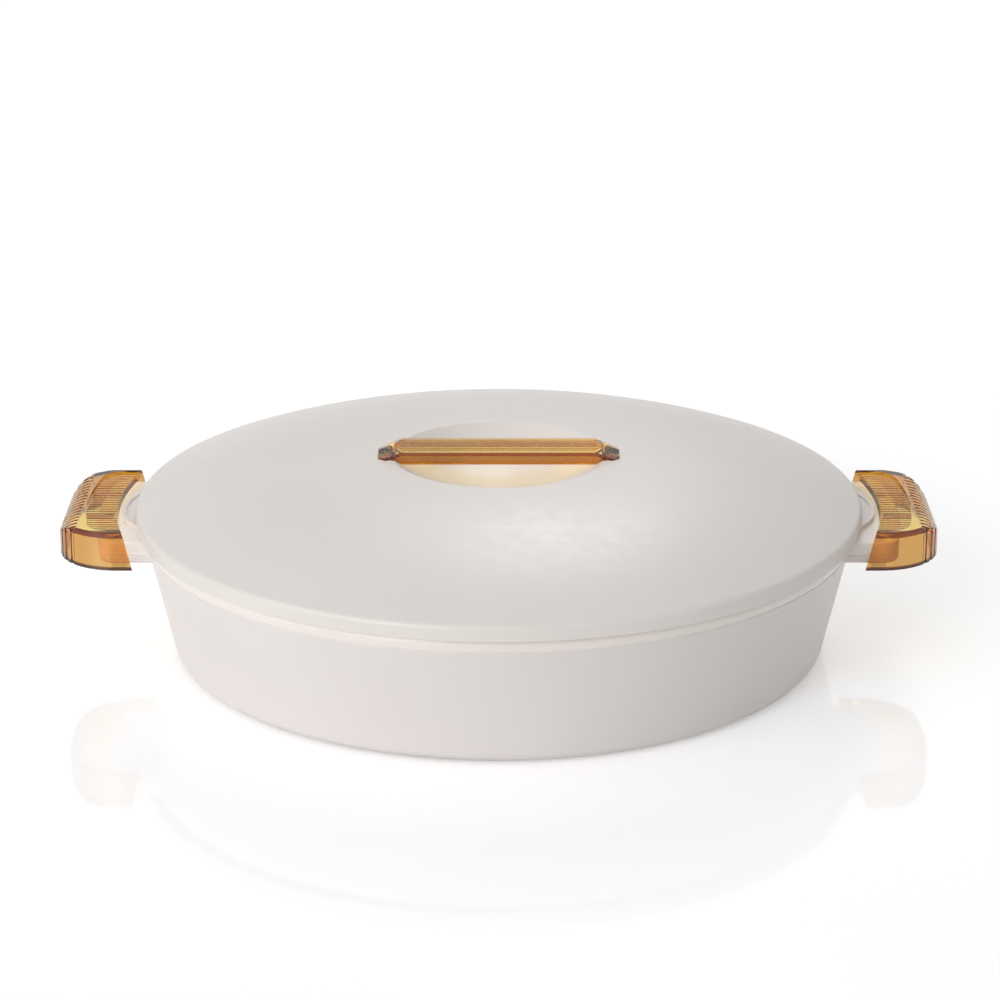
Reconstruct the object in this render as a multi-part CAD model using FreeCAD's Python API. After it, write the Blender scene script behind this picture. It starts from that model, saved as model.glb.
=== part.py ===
import FreeCAD, Part
import math
import os

# Insulated chapati casserole, closed, standing on its feet.
# Millimetres, +Z up, origin on the resting plane at the axis of the body, handles along X.

V = FreeCAD.Vector
AXIS = V(0, 0, 1)
os.makedirs("parts", exist_ok=True)

# ---------------------------------------------------------------- driving dimensions

# dish
dish_height = 46.6
dish_wall = 4.8
dish_floor = 5.0
dish_foot_corner = 3.0
dish_inner_corner = 11.0
dish_groove_count = 4
dish_groove_first = 7.6         # height of the lowest groove above the dish's base
dish_groove_last = 9.6          # top of the dish down to the highest groove
dish_groove_depth = 1.3
dish_groove_width = 5.0
dish_groove_round = 0.5
dish_band_round = 7.0           # bulge of the bands between the grooves
dish_lip_round = 2.1            # rounding of the lip's outer and inner edges
dish_recess_depth = 1.0         # shallow hollow under the dish
dish_recess_margin = 12.0       # from the circle of the bumps in to that hollow
dish_ring_inset = 19.7          # from the foot of the dish in to the fine line on its floor
dish_ring_width = 1.0
dish_ring_height = 0.25

# lining
rim_inner_radius = 145.0        # mouth of the lid recess, at the rim top
rim_width = 4.6                 # from the mouth to the outside of the rim
rim_band = 6.0                  # height of the rim above the joint with the shell
rim_corner = 2.8                # rounding of the rim's outer top edge
mouth_corner = 1.0              # rounding of the rim's inner top edge
liner_wall = 2.0
recess_depth = 10.0             # rim top down to the ledge
recess_draft = 1.2              # the recess is this much narrower at its foot than at its mouth
ledge_width = 8.2               # ledge between the recess wall and the well
ledge_step_width = 1.2          # small raised step along the foot of the recess wall
ledge_step_height = 0.4
ledge_corner = 1.6
well_floor_height = 11.6        # top of the well floor above the resting plane
well_draft = 7.0                # the well is this much narrower at its floor than at its mouth
well_corner = 6.0
floor_ring_inset = 16.6         # from the well's foot in to the fine line on its floor
floor_ring_width = 1.2
floor_ring_height = 0.3
dish_gap = 1.6                  # between the dish's lip and the mouth of the well
dish_foot_gap = 4.9             # between the foot of the dish and the foot of the well
lip_over_rim = 2.3              # the dish's lip stands this far above the rim

# bumps that the dish stands on
bump_count = 3
bump_first = 30.0               # degrees from the handle line to the first bump
bump_inset = 27.7               # from the foot of the dish in to the circle of the bumps
bump_radius = 5.0
bump_height = 1.1
bump_draft = 1.4

# shell
wall_taper = 12.8               # degrees, of the outer wall and the inner edge of the covers
shell_wall = 2.0
shell_floor = 2.2
shell_corner = 5.0              # rounding at the foot of the wall
seam_reveal = 0.4               # bevel along the seam of shell and lining, on both sides of it

# feet
foot_inset = 13.4               # from the foot of the wall in to the circle of the feet
foot_angle = 50.0               # degrees from the handle line to a foot
foot_radius = 8.0
foot_proud = 0.8
foot_sunk = 1.6
foot_corner = 0.4

# fill plugs
plug_radius = 11.0
plug_head_radius = 15.0
plug_head_thick = 1.2
plug_wall = 2.0
lid_plug_stem = 3.2             # stem of the lid's plug above its head

# lid
lid_overhang = 2.6              # edge band of the lid beyond the rim
lid_band_corner = 2.4
lid_inner_corner = 0.6          # least rounding inside the edge band
lid_edge_in = 4.4               # the dome starts this far in from the band
lid_edge_height = 7.0           # foot of the dome above the rim
dome_power = 3.2                # how flat the middle of the dome is
dome_steps = 9                  # points of the dome's curve
lid_wall = 2.2
flange_thick = 2.0
land_width = 8.0                # seat in the lid's skin that the flange meets
land_thick = 1.6
ring_gap = 0.4                  # between the ring under the lid and the wall of the recess
ring_wall = 4.4
ring_corner = 1.0
ring_neck_height = 5.0          # neck of the ring, between the flange and its thick foot
ring_neck_depth = 2.6
lid_headroom = 2.9              # between the dish's lip and the lid's lining
ceiling_wall = 1.8
ceiling_shoulder = 7.0          # the lining narrows by this much from the ring to the ceiling
ceiling_corner = 4.0
foam_under_scoop = 3.2

# lift tabs of the lid
tab_half_width = 27.6
tab_proud = 6.2                 # beyond the lid's edge band
tab_thick = 1.6
tab_rim_width = 1.6
tab_rim_height = 0.4

# finger scoop and bar
scoop_radius = 44.5
scoop_depth = 13.5
scoop_edge = 1.2
bar_tip_in = 5.0                # tip of the bar's top face, in from the end of the bar
bar_facet_turn = 27.7           # degrees that the end facets are turned in plan
bar_facet_slope = 22.5          # degrees that the end facets fall away
bar_end_lap = 0.4               # the bar runs past its feet by this much
bar_width = 21.0
bar_plan_cut = 3.4              # the corners cut off the bar in plan
bar_proud = 3.2                 # bar top above the dome's apex
bar_side_height = 5.0
bar_side_draft = 0.8
bar_wall = 2.2
bar_rib_pitch = 2.1
bar_rib_width = 1.1
bar_rib_height = 0.4
bar_rib_inset = 1.3             # from the edge of the bar's top face to its ribs
bar_line_drop = 1.2             # fine groove round the bar, this far below its top and facets
bar_line_height = 0.6
bar_line_depth = 0.4
peg_from_scoop = 3.1            # peg of the bar from the scoop's edge
peg_radius = 2.6
peg_length = 7.0
bar_foot_length = 5.0           # length of the bar's foot along the bar
bar_foot_half_width = 5.0
bar_foot_sunk = 0.6             # the bar's foot is let in the dome by this much
boss_wall = 1.8

# screws of the bar
screw_radius = 1.25
screw_length = 6.0
screw_head_radius = 2.8
screw_head_thick = 1.9
screw_slot_width = 0.9
screw_slot_depth = 0.8
screw_hole_spare = 1.0          # the hole in the peg is deeper than the screw by this much

# handle lugs on the body
lug_under_cover = 7.9           # the lug's outer end beyond the cover's inner edge
lug_corner_less = 18.0          # the lug's plan corners are this much tighter than the cover's
lug_wall = 2.4
lug_floor = 1.2
lug_lower_height = 3.2          # the lug's lower half, below the joint of lining and shell
lug_edge = 1.0                  # rounding along the lug's outer edges
groove_from_rim = 1.9           # the two fine lines on the lug's top
groove_length = 5.5
groove_width = 0.8
groove_depth = 0.5
guide_offset = 14.4             # the two guide ribs, either side of the handle line
guide_setback = 0.4             # from the cover's inner edge to the guide ribs
guide_length = 11.5
guide_hook_length = 4.6         # the part of a guide rib that drops in its slot
guide_thick = 1.2
guide_sunk = 1.0                # how deep a guide rib drops in its slot in the lug

# handle covers
cover_half_width = 41.6
grip_hollow = 13.7              # room for fingers between the lug and the cover's end
cover_over_lug = 5.0
cover_skirt = 2.4               # the cover's edge below the lug
cover_wall = 2.0
cover_plan_corner = 26.0
cover_end_round = 11.0          # rounding from the top to the outer end
cover_side_round = 2.4          # rounding from the top to the front and back faces
cover_inner_round = 0.8         # least rounding inside the cover
panel_end = 11.0                # border between the recessed top panel and the outer end
panel_side = 3.4                # border between the panel and the front and back faces
panel_corner = 10.0
panel_sunk = 1.2
panel_rib_pitch = 2.3
panel_rib_width = 1.2
panel_rib_height = 0.3
panel_rib_inset = 0.6
end_rib_pitch = 3.9
end_rib_width = 2.4
end_rib_depth = 0.6
end_rib_length = 9.6            # the end ribs begin this far in from the outer end
barb_setback = 7.1              # catch inside the cover, in from the top of its inner edge
barb_length = 6.0
barb_reach = 1.4
barb_height = 1.6

# clearances
fit_clearance = 0.3             # between curved faces of neighbouring pieces
screw_clearance = 0.03
plug_clearance = 0.08
peg_clearance = 0.1
foam_clearance = 0.25
seat_clearance = 0.15           # beside and above a piece that is let in or clipped
tab_gap = 1.8                   # between the lid's tab and the inner edge of the cover

# ---------------------------------------------------------------- sizes that follow

taper = math.tan(math.radians(wall_taper))
dish_seat = well_floor_height + bump_height
rim_height = dish_seat + dish_height - lip_over_rim
seam_height = rim_height - rim_band
ledge_height = rim_height - recess_depth
rim_outer_radius = rim_inner_radius + rim_width
recess_radius = rim_inner_radius - recess_draft
mouth_radius = recess_radius - ledge_width
well_radius = mouth_radius - well_draft
floor_ring_radius = well_radius - floor_ring_inset
liner_floor_underside = well_floor_height - liner_wall
base_plug_stem = liner_floor_underside - foam_clearance - foot_proud - plug_head_thick

dish_lip_radius = mouth_radius - dish_gap
dish_base_radius = well_radius - dish_foot_gap
bump_circle = dish_base_radius - bump_inset
dish_recess_radius = bump_circle - dish_recess_margin
dish_ring_radius = dish_base_radius - dish_ring_inset

lid_radius = rim_outer_radius + lid_overhang
ring_bottom = ledge_height + ledge_step_height + seat_clearance
ring_radius = recess_radius - ring_gap
ring_inner_radius = ring_radius - ring_wall
ceiling_radius = ring_inner_radius - ceiling_shoulder
flange_radius = lid_radius - lid_wall - seat_clearance
flange_top = rim_height + flange_thick
ceiling = rim_height + lip_over_rim + lid_headroom
ceiling_top = ceiling + ceiling_wall
dome_apex = ceiling_top + foam_under_scoop + lid_wall + scoop_depth
dome_foot = rim_height + lid_edge_height
tab_reach = lid_radius + tab_proud

peg_offset = scoop_radius + peg_from_scoop
bar_half_length = peg_offset + bar_foot_length / 2 + bar_end_lap
bar_top = dome_apex + bar_proud
bar_underside = bar_top - bar_side_height

cover_inner_radius = tab_reach + tab_gap
lug_reach = cover_inner_radius + lug_under_cover
lug_half_width = cover_half_width - cover_wall - fit_clearance
lug_corner = cover_plan_corner - lug_corner_less
lug_top = rim_height
lug_bottom = seam_height - lug_lower_height
cover_reach = lug_reach + grip_hollow + cover_wall
cover_top = lug_top + cover_over_lug
cover_bottom = lug_bottom - cover_skirt
panel_reach = cover_reach - panel_end
panel_floor = cover_top - panel_sunk
guide_start = cover_inner_radius + guide_setback
barb_start = cover_inner_radius - barb_setback

# heights and spans that are only far enough to cut or clip with
LOW = -10.0
HIGH = 2 * bar_top
WIDE = 2 * cover_reach
TINY = 0.01                     # heights closer than this count as the same


def wall_radius(z):
    """Outside of the tapered wall at height z."""
    return rim_outer_radius - (rim_height - z) * taper


def shell_inside(z):
    """Inside of the outer casing's wall at height z."""
    return wall_radius(z) - shell_wall / math.cos(math.radians(wall_taper))


def recess_wall(z):
    """Wall of the lid recess at height z."""
    foot = ledge_height + ledge_step_height
    return recess_radius + recess_draft * (z - foot) / (rim_height - foot)


def dome_z(r, sunk=0.0):
    """Height of the dome at radius r, or of a surface that lies sunk below it."""
    share = r / (lid_radius - lid_edge_in / 2)
    return dome_apex - (dome_apex - dome_foot) * share ** dome_power - sunk


def dome_slope(r):
    """Rise of the dome per length outwards, at radius r."""
    return (dome_z(r + TINY) - dome_z(r - TINY)) / (2 * TINY)


# ---------------------------------------------------------------- outline helpers

def corner_arc(before, corner, after, radius):
    """Ends and middle of the arc that rounds a corner."""
    to_before = (before - corner).normalize()
    to_after = (after - corner).normalize()
    half = to_before.getAngle(to_after) / 2
    reach = radius / math.tan(half)
    start = corner + to_before * reach
    end = corner + to_after * reach
    bisector = (to_before + to_after).normalize()
    centre = corner + bisector * (radius / math.sin(half))
    middle = centre - bisector * radius
    return start, middle, end


def closed_wire(corners, place):
    """Closed wire through corners (a, b) or (a, b, radius), with rounded corners as arcs.

    place turns (a, b) into a point in space.
    """
    points = [place(c[0], c[1]) for c in corners]
    radii = [c[2] if len(c) > 2 else 0.0 for c in corners]
    count = len(points)
    edges = []
    ends = []
    for i, radius in enumerate(radii):
        if radius > 0:
            ends.append(corner_arc(points[i - 1], points[i], points[(i + 1) % count], radius))
        else:
            ends.append((points[i], None, points[i]))
    for i in range(count):
        start, middle, end = ends[i]
        if middle is not None:
            edges.append(Part.Arc(start, middle, end).toShape())
        following = ends[(i + 1) % count][0]
        if (following - end).Length > 1e-6:
            edges.append(Part.LineSegment(end, following).toShape())
    return Part.Wire(edges)


def turned(corners):
    """Solid of revolution about Z from an outline of (radius, height) corners."""
    wire = closed_wire(corners, lambda r, z: V(r, 0, z))
    return Part.Face(wire).revolve(V(0, 0, 0), AXIS, 360)


def plate(corners, bottom, top):
    """Prism with an outline in plan, between two heights."""
    wire = closed_wire(corners, lambda x, y: V(x, y, bottom))
    return Part.Face(wire).extrude(V(0, 0, top - bottom))


def side_prism(corners, half_width):
    """Prism with an outline in X and Z, centred on the handle line."""
    wire = closed_wire(corners, lambda x, z: V(x, -half_width, z))
    return Part.Face(wire).extrude(V(0, 2 * half_width, 0))


def end_prism(corners, start, end):
    """Prism with an outline in Y and Z, from X start to X end."""
    wire = closed_wire(corners, lambda y, z: V(start, y, z))
    return Part.Face(wire).extrude(V(end - start, 0, 0))


def nose_plate(half, reach, corner, start, bottom, top):
    """Prism with straight sides from X start and an outer end bowed about the body axis.

    The corner arcs run smoothly into the sides and into the bowed end.
    """
    centre_y = half - corner
    centre_x = math.sqrt((reach - corner) ** 2 - centre_y ** 2)
    stretch = reach / (reach - corner)
    turn = (math.pi / 2 + math.atan2(centre_y, centre_x)) / 2
    arc_x = centre_x + corner * math.sin(turn)
    arc_y = centre_y + corner * math.cos(turn)
    end_x = centre_x * stretch
    end_y = centre_y * stretch

    def at(x, y):
        return V(x, y, bottom)

    edges = [
        Part.LineSegment(at(start, half), at(start, -half)).toShape(),
        Part.LineSegment(at(start, -half), at(centre_x, -half)).toShape(),
        Part.Arc(at(centre_x, -half), at(arc_x, -arc_y), at(end_x, -end_y)).toShape(),
        Part.Arc(at(end_x, -end_y), at(reach, 0), at(end_x, end_y)).toShape(),
        Part.Arc(at(end_x, end_y), at(arc_x, arc_y), at(centre_x, half)).toShape(),
        Part.LineSegment(at(centre_x, half), at(start, half)).toShape(),
    ]
    return Part.Face(Part.Wire(edges)).extrude(V(0, 0, top - bottom))


def block(x0, x1, y0, y1, z0, z1):
    return Part.makeBox(x1 - x0, y1 - y0, z1 - z0, V(x0, y0, z0))


def drum(radius, z0, z1, x=0.0, y=0.0):
    return Part.makeCylinder(radius, z1 - z0, V(x, y, z0), AXIS)


def around(count, circle, first=0.0):
    """Points evenly round the axis, first in degrees."""
    for i in range(count):
        angle = math.radians(first + 360.0 * i / count)
        yield circle * math.cos(angle), circle * math.sin(angle)


def mirrored(shape):
    """The same shape on the other side of the body."""
    return shape.mirror(V(0, 0, 0), V(1, 0, 0))


def both_sides(shape):
    return [shape, mirrored(shape)]


def save(name, shape):
    solids = shape.Solids
    result = solids[0] if len(solids) == 1 else Part.makeCompound(solids)
    result.exportStep("parts/" + name + ".step")
    volume = sum(s.Volume for s in solids) / 1000
    print("%-20s solids %d  valid %s  %.1f cm3" % (name, len(solids), result.isValid(), volume))


# ---------------------------------------------------------------- handle lugs

def lug_block(inset, start, bottom, top):
    """A lug as a full block, inset all round, from X start outwards."""
    return nose_plate(lug_half_width - inset, lug_reach - inset, lug_corner - inset, start, bottom, top)


def level_edges(shape, height, start):
    """Edges of a face at one height, apart from those at the body's side."""
    return [e for e in shape.Edges
            if abs(e.BoundBox.ZMin - height) < TINY and e.BoundBox.ZLength < TINY
            and e.BoundBox.XMax > start + TINY]


def upper_lug():
    """Upper half of a lug: a tray open below, rounded along its top edges."""
    outer = lug_block(0, mouth_radius, seam_height, lug_top)
    outer = outer.makeFillet(lug_edge, level_edges(outer, lug_top, mouth_radius))
    outer = outer.makeChamfer(seam_reveal, level_edges(outer, seam_height, mouth_radius))
    inner = lug_block(lug_wall, rim_outer_radius, LOW, lug_top - lug_wall)
    groove_start = rim_outer_radius + groove_from_rim
    slot_start = guide_start - seat_clearance
    slot_end = guide_start + guide_hook_length + seat_clearance
    for side in (-1, 1):
        y = side * guide_offset
        half = groove_width / 2
        outer = outer.cut(block(groove_start, groove_start + groove_length, y - half, y + half,
                                lug_top - groove_depth, HIGH))
        half = guide_thick / 2 + seat_clearance
        outer = outer.cut(block(slot_start, slot_end, y - half, y + half, lug_top - guide_sunk, HIGH))
    return outer.cut(inner)


def lower_lug():
    """Lower half of a lug: a tray open above."""
    outer = lug_block(0, mouth_radius, lug_bottom, seam_height)
    outer = outer.makeFillet(lug_edge, level_edges(outer, lug_bottom, mouth_radius))
    outer = outer.makeChamfer(seam_reveal, level_edges(outer, seam_height, mouth_radius))
    return outer.cut(lug_block(lug_wall, rim_outer_radius, lug_bottom + lug_floor, HIGH))


# ---------------------------------------------------------------- body

def shell_outline():
    """The outer casing's outline, filled to the axis."""
    shoulder = seam_height - seam_reveal
    return [(0, foot_proud), (wall_radius(foot_proud), foot_proud, shell_corner),
            (wall_radius(shoulder), shoulder),
            (wall_radius(seam_height) - seam_reveal, seam_height), (0, seam_height)]


def shell_inner_outline():
    """The space inside the outer casing."""
    floor = foot_proud + shell_floor
    return [(0, floor), (shell_inside(floor), floor, shell_corner - shell_wall),
            (shell_inside(HIGH), HIGH), (0, HIGH)]


def feet(radius, bottom, top):
    """Discs of the four feet, or of the pockets that hold them."""
    circle = wall_radius(foot_proud) - foot_inset
    pads = []
    for angle in (foot_angle, 180 - foot_angle, 180 + foot_angle, 360 - foot_angle):
        x = circle * math.cos(math.radians(angle))
        y = circle * math.sin(math.radians(angle))
        pads.append(drum(radius, bottom, top, x, y))
    return pads


def make_outer_shell():
    outside = turned(shell_outline())
    lugs = [lug.cut(outside) for lug in both_sides(lower_lug())]
    shape = outside.fuse(lugs).cut(turned(shell_inner_outline()))
    plug_holes = [drum(plug_radius, LOW, foot_proud + shell_floor),
                  drum(plug_head_radius + plug_clearance, LOW, foot_proud + plug_head_thick)]
    pockets = feet(foot_radius + plug_clearance, LOW, foot_proud + foot_sunk)
    return shape.cut(plug_holes + pockets).removeSplitter()


def liner_outline():
    """The lining's outline: rim band, recess, ledge and well, with an even wall."""
    under_ledge = ledge_height - liner_wall
    step = recess_radius - ledge_step_width
    band = shell_inside(under_ledge) - fit_clearance
    return [
        (0, liner_floor_underside),
        (well_radius + liner_wall, liner_floor_underside, well_corner + liner_wall),
        (mouth_radius + liner_wall, under_ledge),
        (band, under_ledge),
        (band, seam_height),
        (wall_radius(seam_height) - seam_reveal, seam_height),
        (wall_radius(seam_height + seam_reveal), seam_height + seam_reveal),
        (rim_outer_radius, rim_height, rim_corner),
        (rim_inner_radius, rim_height, mouth_corner),
        (recess_radius, ledge_height + ledge_step_height),
        (step, ledge_height + ledge_step_height),
        (step, ledge_height),
        (mouth_radius, ledge_height, ledge_corner),
        (well_radius, well_floor_height, well_corner),
        (floor_ring_radius + floor_ring_width, well_floor_height),
        (floor_ring_radius + floor_ring_width / 2, well_floor_height + floor_ring_height),
        (floor_ring_radius, well_floor_height),
        (0, well_floor_height),
    ]


def bumps():
    """Low flat-topped bumps on the well floor."""
    shapes = []
    for x, y in around(bump_count, bump_circle, bump_first):
        foot = V(x, y, well_floor_height)
        shapes.append(Part.makeCone(bump_radius, bump_radius - bump_draft, bump_height, foot, AXIS))
    return shapes


def rim_body():
    """The rim as a full round block, for trimming the lugs to it."""
    shoulder = seam_height + seam_reveal
    return turned([(0, seam_height), (wall_radius(seam_height) - seam_reveal, seam_height),
                   (wall_radius(shoulder), shoulder), (rim_outer_radius, rim_height, rim_corner),
                   (0, rim_height)])


def make_inner_liner():
    rim = rim_body()
    mouth = drum(rim_inner_radius + rim_width / 2, LOW, HIGH)
    lugs = [lug.cut(rim).cut(mouth) for lug in both_sides(upper_lug())]
    return turned(liner_outline()).fuse(lugs + bumps()).removeSplitter()


def make_base_foam():
    """Insulation that fills the space between the shell and the lining."""
    gap = foam_clearance
    under_ledge = ledge_height - liner_wall - gap
    under_floor = liner_floor_underside - gap
    floor = foot_proud + shell_floor
    mouth = mouth_radius + liner_wall + gap
    foot = well_radius + liner_wall + gap
    return turned([
        (0, floor),
        (shell_inside(floor) - gap, floor, shell_corner - shell_wall),
        (shell_inside(under_ledge) - gap, under_ledge),
        (mouth, under_ledge),
        (foot, under_floor, well_corner + liner_wall),
        (0, under_floor),
    ]).cut(drum(plug_radius, 0, floor + base_plug_stem))


def make_plug(face, stem_length):
    """Fill plug with its head flush in the face and its hollow stem above."""
    head = drum(plug_head_radius, 0, plug_head_thick)
    stem = drum(plug_radius - plug_clearance, 0, plug_head_thick + stem_length)
    hollow = drum(plug_radius - plug_wall, plug_head_thick, HIGH)
    shape = head.fuse(stem).cut(hollow).removeSplitter()
    shape.translate(V(0, 0, face))
    return shape


def make_foot_pads():
    pads = []
    for pad in feet(foot_radius, 0, foot_proud + foot_sunk):
        pads.append(pad.makeFillet(foot_corner, level_edges(pad, 0, -WIDE)))
    return Part.makeCompound(pads)


# ---------------------------------------------------------------- handle covers

def cover_body(inset, end_inset, top, bottom):
    """Cover as a full block: plan, side view and end view cut from each other."""
    start = mouth_radius
    reach = cover_reach - inset - end_inset
    half = cover_half_width - inset
    side_round = max(cover_side_round - inset, cover_inner_round)
    shape = nose_plate(half, reach, cover_plan_corner - inset, start, bottom, top)
    side = side_prism([(start, bottom), (reach, bottom), (reach, top, cover_end_round - inset), (start, top)],
                      WIDE)
    ends = end_prism([(-half, bottom), (half, bottom), (half, top, side_round), (-half, top, side_round)],
                     start, WIDE)
    return shape.common(side).common(ends)


def comb(pitch, width, half_span, x0, x1, z0, z1):
    """Row of upright slabs across the handle line."""
    count = int(half_span / pitch)
    slabs = []
    for i in range(-count, count + 1):
        y = i * pitch
        slabs.append(block(x0, x1, y - width / 2, y + width / 2, z0, z1))
    return Part.makeCompound(slabs)


def panel_region(bottom, top):
    """The recessed top panel, open towards the body."""
    return nose_plate(cover_half_width - panel_side, panel_reach, panel_corner, mouth_radius, bottom, top)


def body_clearance():
    """Cone round the body that the cover's inner edge keeps clear of."""
    low = cover_bottom - cover_wall
    high = cover_top + cover_wall
    return Part.makeCone(cover_inner_radius - (cover_top - low) * taper,
                         cover_inner_radius + (high - cover_top) * taper,
                         high - low, V(0, 0, low), AXIS)


def cover_barb(side):
    """Catch on the inside of a side wall, under the lug."""
    face = side * (cover_half_width - cover_wall)
    root = side * (cover_half_width - cover_wall / 2)
    top = lug_bottom - seat_clearance
    wire = closed_wire([(root, top), (face - side * barb_reach, top), (face, top - barb_height),
                        (root, top - barb_height)], lambda y, z: V(barb_start, y, z))
    return Part.Face(wire).extrude(V(barb_length, 0, 0))


def guide_ribs(top):
    """Two ribs under the panel; the first stretch of each drops in its slot in the lug."""
    ribs = []
    for side in (-1, 1):
        low = side * guide_offset - guide_thick / 2
        high = side * guide_offset + guide_thick / 2
        ribs.append(block(guide_start, guide_start + guide_length, low, high, lug_top + seat_clearance, top))
        ribs.append(block(guide_start, guide_start + guide_hook_length, low, high, lug_top - guide_sunk, top))
    return ribs


def make_right_cover():
    smooth = cover_body(0, 0, cover_top, cover_bottom)
    core = cover_body(0, end_rib_depth, cover_top - end_rib_depth, cover_bottom)
    rib_start = cover_reach - end_rib_length
    ribs = comb(end_rib_pitch, end_rib_width, cover_half_width - cover_side_round, rib_start, WIDE, LOW, HIGH)
    shape = core.fuse(smooth.common(ribs))
    shape = shape.fuse(smooth.common(block(0, rib_start, -WIDE, WIDE, LOW, HIGH)))
    shape = shape.cut(panel_region(panel_floor, HIGH))
    rib_top = panel_floor + panel_rib_height
    fine = comb(panel_rib_pitch, panel_rib_width, cover_half_width - panel_side - panel_rib_width, 0,
                panel_reach - panel_rib_inset, LOW, HIGH)
    rib_foot = panel_floor - panel_rib_height
    shape = shape.fuse(panel_region(rib_foot, rib_top).common(fine))
    cavity_top = panel_floor - cover_wall
    shape = shape.cut(cover_body(cover_wall, 0, cavity_top, LOW))
    catches = [cover_barb(-1), cover_barb(1)]
    shape = shape.fuse(guide_ribs(cavity_top + cover_wall / 2) + catches)
    return shape.cut(body_clearance()).removeSplitter()


# ---------------------------------------------------------------- dish

def dish_radius(z):
    """Outside of the dish at height z above its base, without the grooves."""
    return dish_base_radius + (dish_lip_radius - dish_base_radius) * z / dish_height


def dish_outline():
    """The dish's outline: bulging bands between grooves, a thick lip, a rounded inside."""
    points = [(0, dish_recess_depth), (dish_recess_radius, dish_recess_depth),
              (dish_recess_radius + dish_recess_depth, 0),
              (dish_radius(0), 0, dish_foot_corner)]
    half = dish_groove_width / 2
    pitch = (dish_height - dish_groove_first - dish_groove_last) / (dish_groove_count - 1)
    for i in range(dish_groove_count):
        z = dish_groove_first + i * pitch
        points.append((dish_radius(z - half), z - half, dish_band_round))
        points.append((dish_radius(z) - dish_groove_depth, z, dish_groove_round))
        points.append((dish_radius(z + half), z + half, dish_band_round))
    inner_foot = dish_radius(dish_floor) - dish_wall
    inner_lip = dish_lip_radius - dish_wall
    points += [
        (dish_lip_radius, dish_height, dish_lip_round),
        (inner_lip, dish_height, dish_lip_round),
        (inner_foot, dish_floor, dish_inner_corner),
        (dish_ring_radius + dish_ring_width, dish_floor),
        (dish_ring_radius + dish_ring_width / 2, dish_floor + dish_ring_height),
        (dish_ring_radius, dish_floor),
        (0, dish_floor),
    ]
    return points


def make_dish():
    shape = turned(dish_outline())
    shape.translate(V(0, 0, dish_seat))
    return shape


# ---------------------------------------------------------------- lid

def scoop_ball():
    """Radius and centre of the ball that shapes the scoop."""
    ball = (scoop_radius ** 2 + scoop_depth ** 2) / (2 * scoop_depth)
    return ball, V(0, 0, dome_z(scoop_radius) - scoop_depth + ball)


def scoop_edges():
    """Outline of the scoop: from its bottom along the ball, then the rounding up to the dome.

    The rounding touches the ball and the dome's tangent at the scoop's rim.
    """
    ball, centre = scoop_ball()
    along = V(1, 0, dome_slope(scoop_radius)).normalize()
    up = V(-along.z, 0, along.x)
    rim = V(scoop_radius, 0, dome_z(scoop_radius))
    arm = rim - centre
    forward = arm.dot(along)
    shift = math.sqrt(forward ** 2 + 2 * scoop_edge * (ball + arm.dot(up))) - forward
    pivot = rim + along * shift - up * scoop_edge
    inwards = (centre - pivot).normalize()
    on_ball = pivot + inwards * scoop_edge
    on_dome = pivot + up * scoop_edge
    middle = pivot + (inwards + up).normalize() * scoop_edge
    turn = math.asin(on_ball.x / ball) / 2
    bottom = centre - AXIS * ball
    halfway = centre + V(math.sin(turn), 0, -math.cos(turn)) * ball
    return bottom, on_dome, along, [Part.Arc(bottom, halfway, on_ball).toShape(),
                                    Part.Arc(on_ball, middle, on_dome).toShape()]


def dome_wire(inset, outside, floor, scooped):
    """Half section under the dome, from the axis out to a radius and down to a floor."""
    last = lid_radius - lid_edge_in
    first = V(0, 0, dome_z(0, inset))
    tangent = V(1, 0, 0)
    inner = first
    edges = []
    if scooped:
        inner, first, tangent, edges = scoop_edges()
    points = [first]
    for i in range(1, dome_steps + 1):
        r = first.x + (last - first.x) * i / dome_steps
        points.append(V(r, 0, dome_z(r, inset)))
    slope = dome_slope(last)
    curve = Part.BSplineCurve()
    curve.interpolate(Points=points, InitialTangent=tangent, FinalTangent=V(1, 0, slope))
    edge_z = dome_z(last, inset) + slope * (outside - last)
    corner = V(outside, 0, edge_z)
    radius = max(lid_band_corner - inset, lid_inner_corner)
    start, middle, end = corner_arc(points[-1], corner, V(outside, 0, floor), radius)
    edges += [
        curve.toShape(),
        Part.LineSegment(points[-1], start).toShape(),
        Part.Arc(start, middle, end).toShape(),
        Part.LineSegment(end, V(outside, 0, floor)).toShape(),
        Part.LineSegment(V(outside, 0, floor), V(0, 0, floor)).toShape(),
        Part.LineSegment(V(0, 0, floor), inner).toShape(),
    ]
    return Part.Wire(edges)


def dome_solid(inset, outside, floor, scooped=False):
    wire = dome_wire(inset, outside, floor, scooped)
    return Part.Face(wire).revolve(V(0, 0, 0), AXIS, 360)


def scoop_solid(inset):
    """Ball-shaped hollow under the bar, or the same grown by a wall, open above."""
    ball, centre = scoop_ball()
    shape = Part.makeSphere(ball + inset, centre)
    return shape.common(drum(scoop_radius + inset, LOW, centre.z))


def tab_solid(bottom, top, grow=0.0):
    """Half-round lift tab on the right of the lid."""
    half = tab_half_width + grow
    edge_x = math.sqrt(flange_radius ** 2 - half ** 2)
    bow = tab_reach + grow - edge_x
    radius = (half ** 2 + bow ** 2) / (2 * bow)
    disc = drum(radius, bottom, top, tab_reach + grow - radius, 0)
    return disc.common(block(edge_x - tab_proud, WIDE, -half, half, bottom, top))


def bar_seat():
    """Height of the flat seat in the dome for the foot of the bar."""
    return dome_z(bar_half_length - bar_end_lap) - bar_foot_sunk


def boss_end():
    """Lower end of the boss round a peg."""
    return bar_seat() - peg_length - seat_clearance


def bar_foot(grow, bottom, top):
    half_x = bar_foot_length / 2 + grow
    half_y = bar_foot_half_width + grow
    return block(peg_offset - half_x, peg_offset + half_x, -half_y, half_y, bottom, top)


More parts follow.
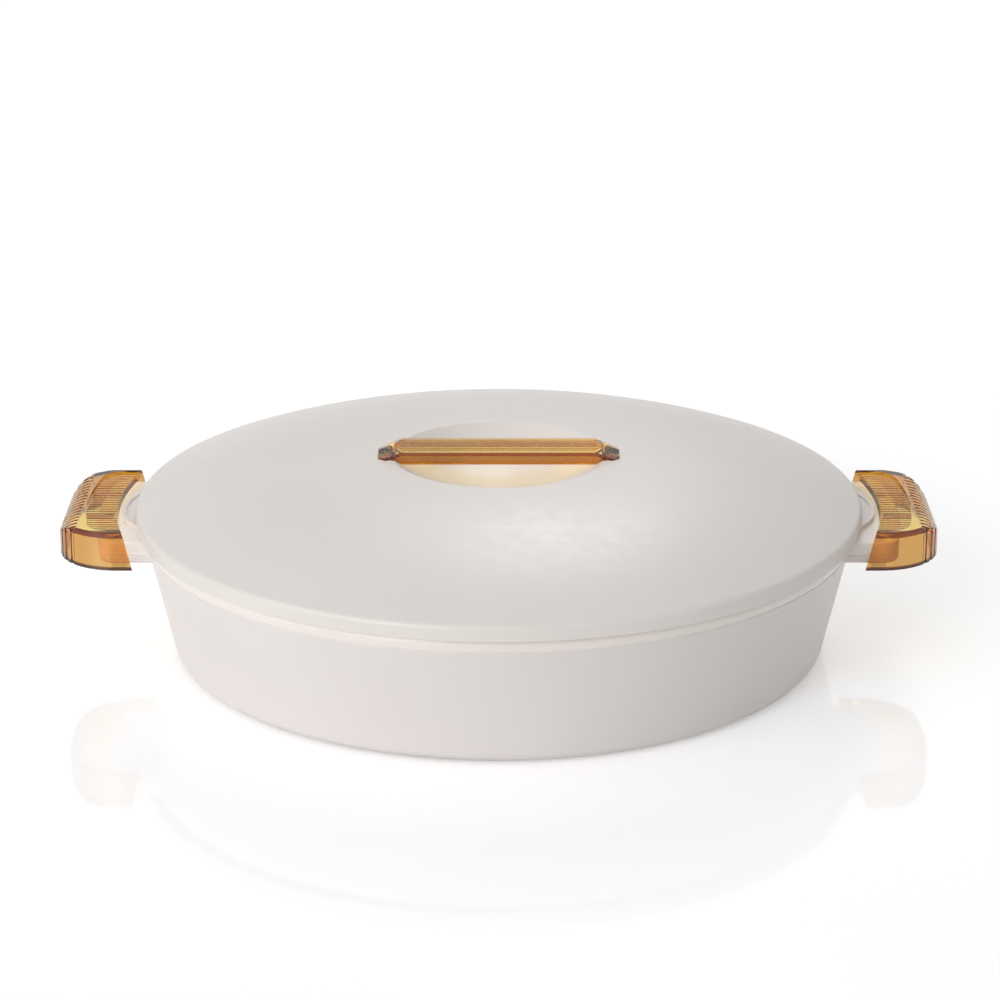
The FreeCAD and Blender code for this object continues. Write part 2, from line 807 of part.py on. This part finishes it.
def make_lid_top():
    shape = dome_solid(0, lid_radius, rim_height + seat_clearance, True)
    inside = dome_solid(lid_wall, lid_radius - lid_wall, LOW)
    land = turned([(flange_radius - land_width, flange_top), (lid_radius, flange_top),
                   (lid_radius, flange_top + land_thick),
                   (flange_radius - land_width + land_thick, flange_top + land_thick)])
    bosses = both_sides(drum(peg_radius + boss_wall, boss_end(), HIGH, peg_offset))
    shape = shape.cut(inside.cut([land, scoop_solid(lid_wall)] + bosses))
    seat = bar_seat()
    cuts = both_sides(bar_foot(seat_clearance, seat, HIGH))
    cuts += both_sides(drum(peg_radius + peg_clearance, seat - peg_length, HIGH, peg_offset))
    cuts += both_sides(drum(screw_radius + fit_clearance, LOW, HIGH, peg_offset))
    cuts += both_sides(tab_solid(LOW, rim_height + tab_thick + seat_clearance, seat_clearance))
    return shape.cut(cuts).removeSplitter()


def lid_liner_outline():
    neck_bottom = rim_height - ring_neck_height
    neck_radius = ring_radius - ring_neck_depth
    return [
        (0, ceiling),
        (ceiling_radius, ceiling, ceiling_corner),
        (ring_inner_radius, rim_height, ceiling_corner / 2),
        (ring_inner_radius, ring_bottom, ring_corner),
        (ring_radius, ring_bottom, ring_corner),
        (recess_wall(neck_bottom) - ring_gap, neck_bottom),
        (neck_radius, neck_bottom),
        (neck_radius, rim_height),
        (flange_radius, rim_height),
        (flange_radius, flange_top),
        (ring_inner_radius, flange_top),
        (ceiling_radius, ceiling_top),
        (0, ceiling_top),
    ]


def make_lid_liner():
    shape = turned(lid_liner_outline())
    tab = tab_solid(rim_height, rim_height + tab_thick)
    tab = tab.cut(tab_solid(rim_height + tab_thick - tab_rim_height, HIGH, -tab_rim_width))
    tab = tab.cut(drum(flange_radius - flange_thick, LOW, HIGH))
    shape = shape.fuse(both_sides(tab))
    shape = shape.cut(drum(plug_radius, LOW, HIGH))
    return shape.cut(drum(plug_head_radius + plug_clearance, LOW, ceiling + plug_head_thick)).removeSplitter()


def make_lid_foam():
    """Insulation between the lid's skin and its lining."""
    gap = foam_clearance
    shape = dome_solid(lid_wall + gap, lid_radius - lid_wall - gap, ceiling_top)
    shape = shape.common(drum(ceiling_radius, LOW, HIGH))
    shape = shape.cut(scoop_solid(lid_wall + gap))
    shape = shape.cut(both_sides(drum(peg_radius + boss_wall + gap, LOW, HIGH, peg_offset)))
    plug_top = ceiling + plug_head_thick + lid_plug_stem + gap
    return shape.cut(drum(plug_radius, LOW, plug_top)).removeSplitter()


# ---------------------------------------------------------------- bar of the lid

def bar_trunk(inset, bottom):
    """The bar's plan with cut corners and slightly sloping sides, from a height to its top."""
    half = bar_half_length - inset
    side = bar_width / 2 - inset
    cut = bar_plan_cut
    plan = plate([(-half, -side + cut), (-half + cut, -side), (half - cut, -side), (half, -side + cut),
                  (half, side - cut), (half - cut, side), (-half + cut, side), (-half, side - cut)],
                 bottom, bar_top)
    low = side + bar_side_draft * (bar_underside - bottom) / bar_side_height
    high = side - bar_side_draft
    return plan.common(end_prism([(-low, bottom), (low, bottom), (high, bar_top), (-high, bar_top)],
                                 -half, half))


def bar_roof(inset, lowered=0.0):
    """Everything below the bar's top and its four end facets, inset or lowered."""
    slope = math.radians(bar_facet_slope)
    tip = (bar_half_length - bar_tip_in) * math.cos(math.radians(bar_facet_turn))
    spread = tip - inset * math.tan(slope / 2)
    top = bar_top - inset - lowered
    reach = spread + (top - LOW) / math.tan(slope)
    outline = [(-reach, LOW), (reach, LOW), (spread, top), (-spread, top)]
    halves = []
    for turn in (-bar_facet_turn, bar_facet_turn):
        half = side_prism(outline, WIDE)
        half.rotate(V(0, 0, 0), AXIS, turn)
        halves.append(half)
    return halves[0].common(halves[1])


def bar_block(inset, bottom):
    """The bar as a full block, inset all round, from a height upwards."""
    return bar_trunk(inset, bottom).common(bar_roof(inset))


def bar_line():
    """Fine groove round the bar, parallel to the edges of its top and facets."""
    layer = bar_roof(0, bar_line_drop).cut(bar_roof(0, bar_line_drop + bar_line_height))
    return layer.cut(bar_trunk(bar_line_depth, LOW))


def bar_ribs():
    """Fine ribs along the bar's top face, up to its pointed ends."""
    turn = math.radians(bar_facet_turn)
    side = bar_width / 2 - bar_side_draft - bar_rib_inset
    tip = bar_half_length - bar_tip_in - bar_rib_inset / math.cos(turn)
    shoulder = tip - side * math.tan(turn)
    low = bar_top - bar_rib_height
    high = bar_top + bar_rib_height
    field = plate([(-tip, 0), (-shoulder, -side), (shoulder, -side), (tip, 0), (shoulder, side),
                   (-shoulder, side)], low, high)
    return field.common(comb(bar_rib_pitch, bar_rib_width, side, -tip, tip, low, high))


def make_lid_handle():
    shape = bar_block(0, bar_underside)
    hollow_end = peg_offset - bar_foot_length
    hollow = bar_block(bar_wall, LOW)
    shape = shape.cut(hollow.common(block(-hollow_end, hollow_end, -WIDE, WIDE, LOW, HIGH)))
    dome = dome_solid(-seat_clearance, lid_radius, rim_height)
    shape = shape.cut(dome.cut(scoop_solid(-seat_clearance)))
    seat = bar_seat()
    foot = bar_foot(0, seat, bar_top).common(bar_block(0, LOW))
    peg = drum(peg_radius, seat - peg_length + seat_clearance, seat + bar_foot_sunk, peg_offset)
    shape = shape.fuse(both_sides(foot) + both_sides(peg))
    shape = shape.fuse(bar_ribs()).cut(bar_line())
    bore_end = boss_end() + screw_length + screw_hole_spare
    bores = both_sides(drum(screw_radius + screw_clearance, LOW, bore_end, peg_offset))
    return shape.cut(bores).removeSplitter()


def make_lid_handle_screws():
    """Two screws that draw the bar's pegs down from inside the lid."""
    head_top = boss_end()
    low = head_top - screw_head_thick
    head = drum(screw_head_radius, low, head_top, peg_offset)
    shank = drum(screw_radius, low, head_top + screw_length, peg_offset)
    half = screw_slot_width / 2
    slot = block(0, WIDE, -half, half, low, low + screw_slot_depth)
    screw = head.fuse(shank).cut(slot).removeSplitter()
    return Part.makeCompound(both_sides(screw))


# ---------------------------------------------------------------- everything

def main():
    right_cover = make_right_cover()
    save("outer_shell", make_outer_shell())
    save("inner_liner", make_inner_liner())
    save("base_foam", make_base_foam())
    save("base_fill_plug", make_plug(foot_proud, base_plug_stem))
    save("foot_pads", make_foot_pads())
    save("right_handle_cover", right_cover)
    save("left_handle_cover", mirrored(right_cover))
    save("dish", make_dish())
    save("lid_top", make_lid_top())
    save("lid_liner", make_lid_liner())
    save("lid_foam", make_lid_foam())
    save("lid_fill_plug", make_plug(ceiling, lid_plug_stem))
    save("lid_handle", make_lid_handle())
    save("lid_handle_screws", make_lid_handle_screws())


main()
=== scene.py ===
import math

import bpy
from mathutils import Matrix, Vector

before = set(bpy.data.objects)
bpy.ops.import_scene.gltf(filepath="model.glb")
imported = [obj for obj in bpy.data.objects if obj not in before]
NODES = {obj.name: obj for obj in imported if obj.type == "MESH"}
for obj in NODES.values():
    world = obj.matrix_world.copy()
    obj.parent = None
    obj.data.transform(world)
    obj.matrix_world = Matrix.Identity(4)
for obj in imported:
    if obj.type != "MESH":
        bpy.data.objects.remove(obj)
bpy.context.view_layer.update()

MM = 0.001
WHITE = (1.0, 1.0, 1.0, 1.0)

# ---------------------------------------------------------------- amber pieces

LIP = 1.1 * MM                  # height of the painted dark shade strip along the lower edge of the handle covers
STEP = 1.15 * MM                # the covers' panels lie this far below their tops
RIBS = 0.9 * MM                 # height of the bar's ribs below its highest point
BLEND = 0.2 * MM                # from one tint to the next

# Pairs of sRGB tints, each pair mixed by noise
AMBER_TOP_SHEEN = ((0.98, 0.955, 0.91), (0.99, 0.965, 0.93))     # painted sheen: flat-lying faces and the bar's ribs lighter, standing in for reflected bright sky
AMBER_SIDE_SHADE = ((0.86, 0.69, 0.56), (0.88, 0.72, 0.60))       # painted shade: upright faces of the covers deeper amber, standing in for dimmer reflections and longer paths through the amber
AMBER_STEP_SHADE = ((0.76, 0.54, 0.33), (0.79, 0.58, 0.38))       # painted shade: darker on the steps round the panels and on the bar's upright faces
AMBER_LIP_SHADE = ((0.30, 0.17, 0.11), (0.34, 0.20, 0.13))        # painted shade along the lower edge of the covers
AMBER_DEPTH = (0.92, 0.80, 0.036, 1.0)                      # linear colour of the absorption
AMBER_DENSITY = 560.0                                       # per metre

# ---------------------------------------------------------------- camera

CAMERA_PLACE = (0.0, -1.32762, 0.518365)
CAMERA_TILT = 71.024            # degrees from looking straight down
CAMERA_LENS = 119.92            # mm, on the sensor below
CAMERA_SENSOR = 36.0            # mm
CAMERA_SHIFT = 0.0012           # the photo's middle lies this share right of the object's
CAMERA_NEAR = 0.05              # nothing closer is drawn

# ---------------------------------------------------------------- lights, world and floor

# Direction from the front towards the right, height and softness, all in degrees; strength
SUNS = {
    "key": (-36.0, 20.0, 30.0, 1.15),                   # front left, at the camera's height
    "top": (-60.0, 74.0, 70.0, 0.36),                   # from above
}
SUN_PLACE = (0.0, 0.0, 1.5)                             # only the direction of a sun counts

# Place, width, height and power
PANELS = {
    "window": ((-1.6, -1.0, 0.9), 0.7, 1.1, 5.0),       # large, on the left, seen in gloss
    "strip": ((1.5, -0.9, 0.7), 0.25, 1.2, 1.1),        # narrow, on the right
    "back": ((0.12, 1.6, 1.4), 0.45, 0.7, 5.2),         # sheen down the middle of the lid
}
PANEL_TARGET = (0.0, 0.0, 0.08)                         # the middle of the casserole

WORLD_FILL = 0.34               # what matt surfaces get from the white surroundings
WORLD_SEEN = 1.0                # what the camera, gloss and clear plastic see
FLOOR_HALF = 12.0
FLOOR_COLOUR = (0.92, 0.92, 0.92, 1.0)
FLOOR_ROUGHNESS = 0.06
FLOOR_IOR = 1.45
FLOOR_LIFT = 0.32               # added whiteness of the floor as it is seen

# ---------------------------------------------------------------- optics

PLASTIC_IOR = 1.49
GLAZE_IOR = 1.52
NOISE_MIDDLE = (0.3, 0.7)       # nearly all of a noise lies between these


def linear(colour):
    """sRGB colour, 0 to 1, as linear light with alpha."""
    out = [c / 12.92 if c <= 0.04045 else ((c + 0.055) / 1.055) ** 2.4 for c in colour]
    return (*out, 1.0)


# ---------------------------------------------------------------- node helpers

def new_material(name):
    material = bpy.data.materials.new(name)
    material.use_nodes = True
    tree = material.node_tree
    return material, tree, tree.nodes["Principled BSDF"]


def add(tree, kind, **settings):
    """New node with properties set by name and inputs set by their label."""
    node = tree.nodes.new(kind)
    for key, value in settings.items():
        if hasattr(node, key):
            setattr(node, key, value)
        else:
            node.inputs[key.replace("_", " ")].default_value = value
    return node


def own_place(tree):
    """The object's own coordinates, which are those of the closed casserole."""
    node = tree.nodes.get("Place") or add(tree, "ShaderNodeTexCoord", name="Place")
    return node.outputs["Object"]


def upward(tree, vector):
    """The Z part of a vector."""
    node = add(tree, "ShaderNodeSeparateXYZ")
    tree.links.new(vector, node.inputs["Vector"])
    return node.outputs["Z"]


def noise(tree, scale, detail):
    """Noise over the object's own coordinates; scale is in waves per metre."""
    node = add(tree, "ShaderNodeTexNoise", Scale=scale, Detail=detail)
    tree.links.new(own_place(tree), node.inputs["Vector"])
    return node.outputs["Fac"]


def ramp(tree, value, start, end, low=0.0, high=1.0):
    """Maps start to end on low to high, and holds the value beyond them."""
    node = add(tree, "ShaderNodeMapRange", From_Min=start, From_Max=end, To_Min=low, To_Max=high)
    tree.links.new(value, node.inputs["Value"])
    return node.outputs["Result"]


def clouds(tree, scale, detail, low=0.0, high=1.0):
    """Noise, stretched to a range."""
    return ramp(tree, noise(tree, scale, detail), *NOISE_MIDDLE, low, high)


def mix(tree, value, first, second):
    """Colour between two, each an sRGB colour or the output of another node."""
    node = add(tree, "ShaderNodeMix", data_type="RGBA")
    tree.links.new(value, node.inputs["Factor"])
    for label, colour in (("A", first), ("B", second)):
        if isinstance(colour, tuple):
            node.inputs[label].default_value = linear(colour)
        else:
            tree.links.new(colour, node.inputs[label])
    return node.outputs["Result"]


def above(tree, height):
    """1 above a height of the closed casserole, 0 below it."""
    return ramp(tree, upward(tree, own_place(tree)), height - BLEND / 2, height + BLEND / 2)


def facing_up(tree):
    """1 on flat-lying faces, 0 on upright ones."""
    normal = add(tree, "ShaderNodeNewGeometry").outputs["Normal"]
    size = add(tree, "ShaderNodeMath", operation="ABSOLUTE")
    tree.links.new(upward(tree, normal), size.inputs[0])
    return ramp(tree, size.outputs[0], *NOISE_MIDDLE)


def set_relief(tree, shader, layers):
    """Bumps from layers of (waves per metre, detail, height in metres, strength)."""
    normal = None
    for scale, detail, height, strength in layers:
        node = add(tree, "ShaderNodeBump", Distance=height, Strength=strength)
        tree.links.new(noise(tree, scale, detail), node.inputs["Height"])
        if normal is not None:
            tree.links.new(normal, node.inputs["Normal"])
        normal = node.outputs["Normal"]
    tree.links.new(normal, shader.inputs["Normal"])


# ---------------------------------------------------------------- materials

def surface(name, tints, cloud, sheen, relief, **inputs):
    """Opaque material.

    tints: two sRGB colours, mixed by cloud: waves per metre and detail
    sheen: waves per metre, detail, lowest and highest roughness; None for an even sheen
    relief: layers of bumps, as set_relief takes them
    inputs: the shader's other settings
    """
    material, tree, shader = new_material(name)
    tree.links.new(mix(tree, clouds(tree, *cloud), *tints), shader.inputs["Base Color"])
    if sheen is not None:
        tree.links.new(clouds(tree, *sheen), shader.inputs["Roughness"])
    for key, value in inputs.items():
        shader.inputs[key.replace("_", " ")].default_value = value
    set_relief(tree, shader, relief)
    return material


def moulded_plastic(name, tints, roughness, uneven, grain, waves):
    """Faint clouding, uneven sheen, slow flow waves and fine grain."""
    return surface(name, tints, (14, 4), (160, 5, roughness - uneven, roughness + uneven),
                   [(30, 1, 0.0003, waves), (2200, 2, 0.000008, grain)], IOR=PLASTIC_IOR)


def clear_amber(name):
    """See-through amber plastic with painted sheen on flat-lying faces and painted shade on
    upright faces, the steps and the covers' lower edges.
    """
    cover = [corner[2] for corner in NODES["right_handle_cover"].bound_box]
    bar_top = max(corner[2] for corner in NODES["lid_handle"].bound_box)
    material, tree, shader = new_material(name)
    cloud = clouds(tree, 60, 3)
    # painted light: lighter flat faces, darker upright faces, steps and lower edges
    top_sheen = mix(tree, cloud, *AMBER_TOP_SHEEN)
    side_shade = mix(tree, cloud, *AMBER_SIDE_SHADE)
    step_shade = mix(tree, cloud, *AMBER_STEP_SHADE)
    lip_shade = mix(tree, cloud, *AMBER_LIP_SHADE)
    upright_shade = mix(tree, above(tree, max(cover) - STEP), side_shade, step_shade)
    upright_shade = mix(tree, above(tree, bar_top - RIBS), upright_shade, top_sheen)
    sheen_and_shade = mix(tree, facing_up(tree), upright_shade, top_sheen)
    colour = mix(tree, above(tree, min(cover) + LIP), lip_shade, sheen_and_shade)
    tree.links.new(colour, shader.inputs["Base Color"])
    tree.links.new(clouds(tree, 300, 4, 0.02, 0.07), shader.inputs["Roughness"])
    shader.inputs["IOR"].default_value = PLASTIC_IOR
    shader.inputs["Transmission Weight"].default_value = 1.0
    set_relief(tree, shader, [(90, 1, 0.0002, 0.15)])
    depth = add(tree, "ShaderNodeVolumeAbsorption", Color=AMBER_DEPTH, Density=AMBER_DENSITY)
    tree.links.new(depth.outputs["Volume"], tree.nodes["Material Output"].inputs["Volume"])
    return material


def paint_nodes():
    body = moulded_plastic("body_plastic", ((0.915, 0.890, 0.880), (0.925, 0.902, 0.892)),
                           0.36, 0.04, 0.25, 0.1)
    lining = moulded_plastic("liner_plastic", ((0.960, 0.933, 0.908), (0.968, 0.943, 0.920)),
                             0.24, 0.015, 0.05, 0.02)
    lid = moulded_plastic("lid_plastic", ((0.914, 0.888, 0.868), (0.924, 0.900, 0.880)),
                          0.38, 0.04, 0.3, 0.12)
    under_lid = moulded_plastic("lid_liner_plastic",
                                ((0.893, 0.866, 0.858), (0.905, 0.880, 0.872)),
                                0.34, 0.04, 0.2, 0.1)
    glaze = surface("white_glaze", ((0.935, 0.948, 0.952), (0.955, 0.965, 0.965)),
                    (20, 4), (90, 4, 0.10, 0.18), [(55, 1, 0.0003, 0.2), (420, 2, 0.00004, 0.25)],
                    IOR=GLAZE_IOR, Coat_Weight=0.6, Coat_Roughness=0.04)
    foam = surface("foam", ((0.86, 0.78, 0.55), (0.93, 0.87, 0.66)),
                   (900, 5), None, [(700, 5, 0.0004, 0.8)], Roughness=0.9)
    rubber = surface("foot_rubber", ((0.20, 0.21, 0.23), (0.27, 0.28, 0.30)),
                     (300, 4), (500, 3, 0.6, 0.8), [(1500, 3, 0.00005, 0.5)])
    zinc_steel = surface("screw_steel", ((0.66, 0.66, 0.67), (0.76, 0.77, 0.78)),
                         (500, 4), (900, 3, 0.25, 0.4), [(1200, 3, 0.00003, 0.4)], Metallic=1.0)
    amber = clear_amber("amber_plastic")
    finishes = {
        "outer_shell": body, "base_fill_plug": body, "inner_liner": lining,
        "lid_top": lid, "lid_liner": under_lid, "lid_fill_plug": under_lid,
        "dish": glaze, "base_foam": foam, "lid_foam": foam,
        "foot_pads": rubber, "lid_handle_screws": zinc_steel,
        "right_handle_cover": amber, "left_handle_cover": amber, "lid_handle": amber,
    }
    for name, material in finishes.items():
        for slot in NODES[name].material_slots:
            slot.material = material
        if material is amber:
            NODES[name].visible_shadow = False


# ---------------------------------------------------------------- camera, lights, world, floor

def place_object(name, data, place):
    thing = bpy.data.objects.new(name, data)
    thing.location = place
    bpy.context.scene.collection.objects.link(thing)
    return thing


def make_camera():
    data = bpy.data.cameras.new("camera")
    data.sensor_width = CAMERA_SENSOR
    data.lens = CAMERA_LENS
    data.shift_x = CAMERA_SHIFT
    data.clip_start = CAMERA_NEAR
    camera = place_object("camera", data, CAMERA_PLACE)
    camera.rotation_euler = (math.radians(CAMERA_TILT), 0.0, 0.0)
    bpy.context.scene.camera = camera


def sun_light(name, azimuth, elevation, softness, strength):
    data = bpy.data.lights.new(name, "SUN")
    data.angle = math.radians(softness)
    data.energy = strength
    lamp = place_object(name, data, SUN_PLACE)
    lamp.rotation_euler = (math.radians(90.0 - elevation), 0.0, math.radians(azimuth))


def panel_light(name, place, width, height, power):
    data = bpy.data.lights.new(name, "AREA")
    data.shape = "RECTANGLE"
    data.size = width
    data.size_y = height
    data.energy = power
    lamp = place_object(name, data, place)
    lamp.rotation_mode = "QUATERNION"
    lamp.rotation_quaternion = (Vector(PANEL_TARGET) - Vector(place)).to_track_quat("-Z", "Y")


def make_lights():
    for name, settings in SUNS.items():
        sun_light(name, *settings)
    for name, settings in PANELS.items():
        panel_light(name, *settings)


def seen_directly(tree):
    """1 for camera, glossy and transmission rays, 0 for the rest."""
    path = add(tree, "ShaderNodeLightPath")
    total = path.outputs["Is Camera Ray"]
    for kind in ("Is Glossy Ray", "Is Transmission Ray"):
        node = add(tree, "ShaderNodeMath", operation="MAXIMUM")
        tree.links.new(total, node.inputs[0])
        tree.links.new(path.outputs[kind], node.inputs[1])
        total = node.outputs[0]
    return total


def make_world():
    world = bpy.data.worlds.new("studio")
    bpy.context.scene.world = world
    world.use_nodes = True
    tree = world.node_tree
    background = tree.nodes["Background"]
    background.inputs["Color"].default_value = WHITE
    strength = ramp(tree, seen_directly(tree), 0.0, 1.0, WORLD_FILL, WORLD_SEEN)
    tree.links.new(strength, background.inputs["Strength"])


def make_floor():
    half = FLOOR_HALF
    square = [(-half, -half, 0), (half, -half, 0), (half, half, 0), (-half, half, 0)]
    mesh = bpy.data.meshes.new("studio_floor")
    mesh.from_pydata(square, [], [(0, 1, 2, 3)])
    floor = place_object("studio_floor", mesh, (0.0, 0.0, 0.0))
    material, tree, shader = new_material("studio_floor")
    shader.inputs["Base Color"].default_value = FLOOR_COLOUR
    shader.inputs["Roughness"].default_value = FLOOR_ROUGHNESS
    shader.inputs["IOR"].default_value = FLOOR_IOR
    shader.inputs["Emission Color"].default_value = WHITE
    lift = ramp(tree, seen_directly(tree), 0.0, 1.0, 0.0, FLOOR_LIFT)
    tree.links.new(lift, shader.inputs["Emission Strength"])
    mesh.materials.append(material)


make_camera()
make_lights()
make_world()
make_floor()
paint_nodes()

bpy.context.scene.view_settings.view_transform = "Standard"
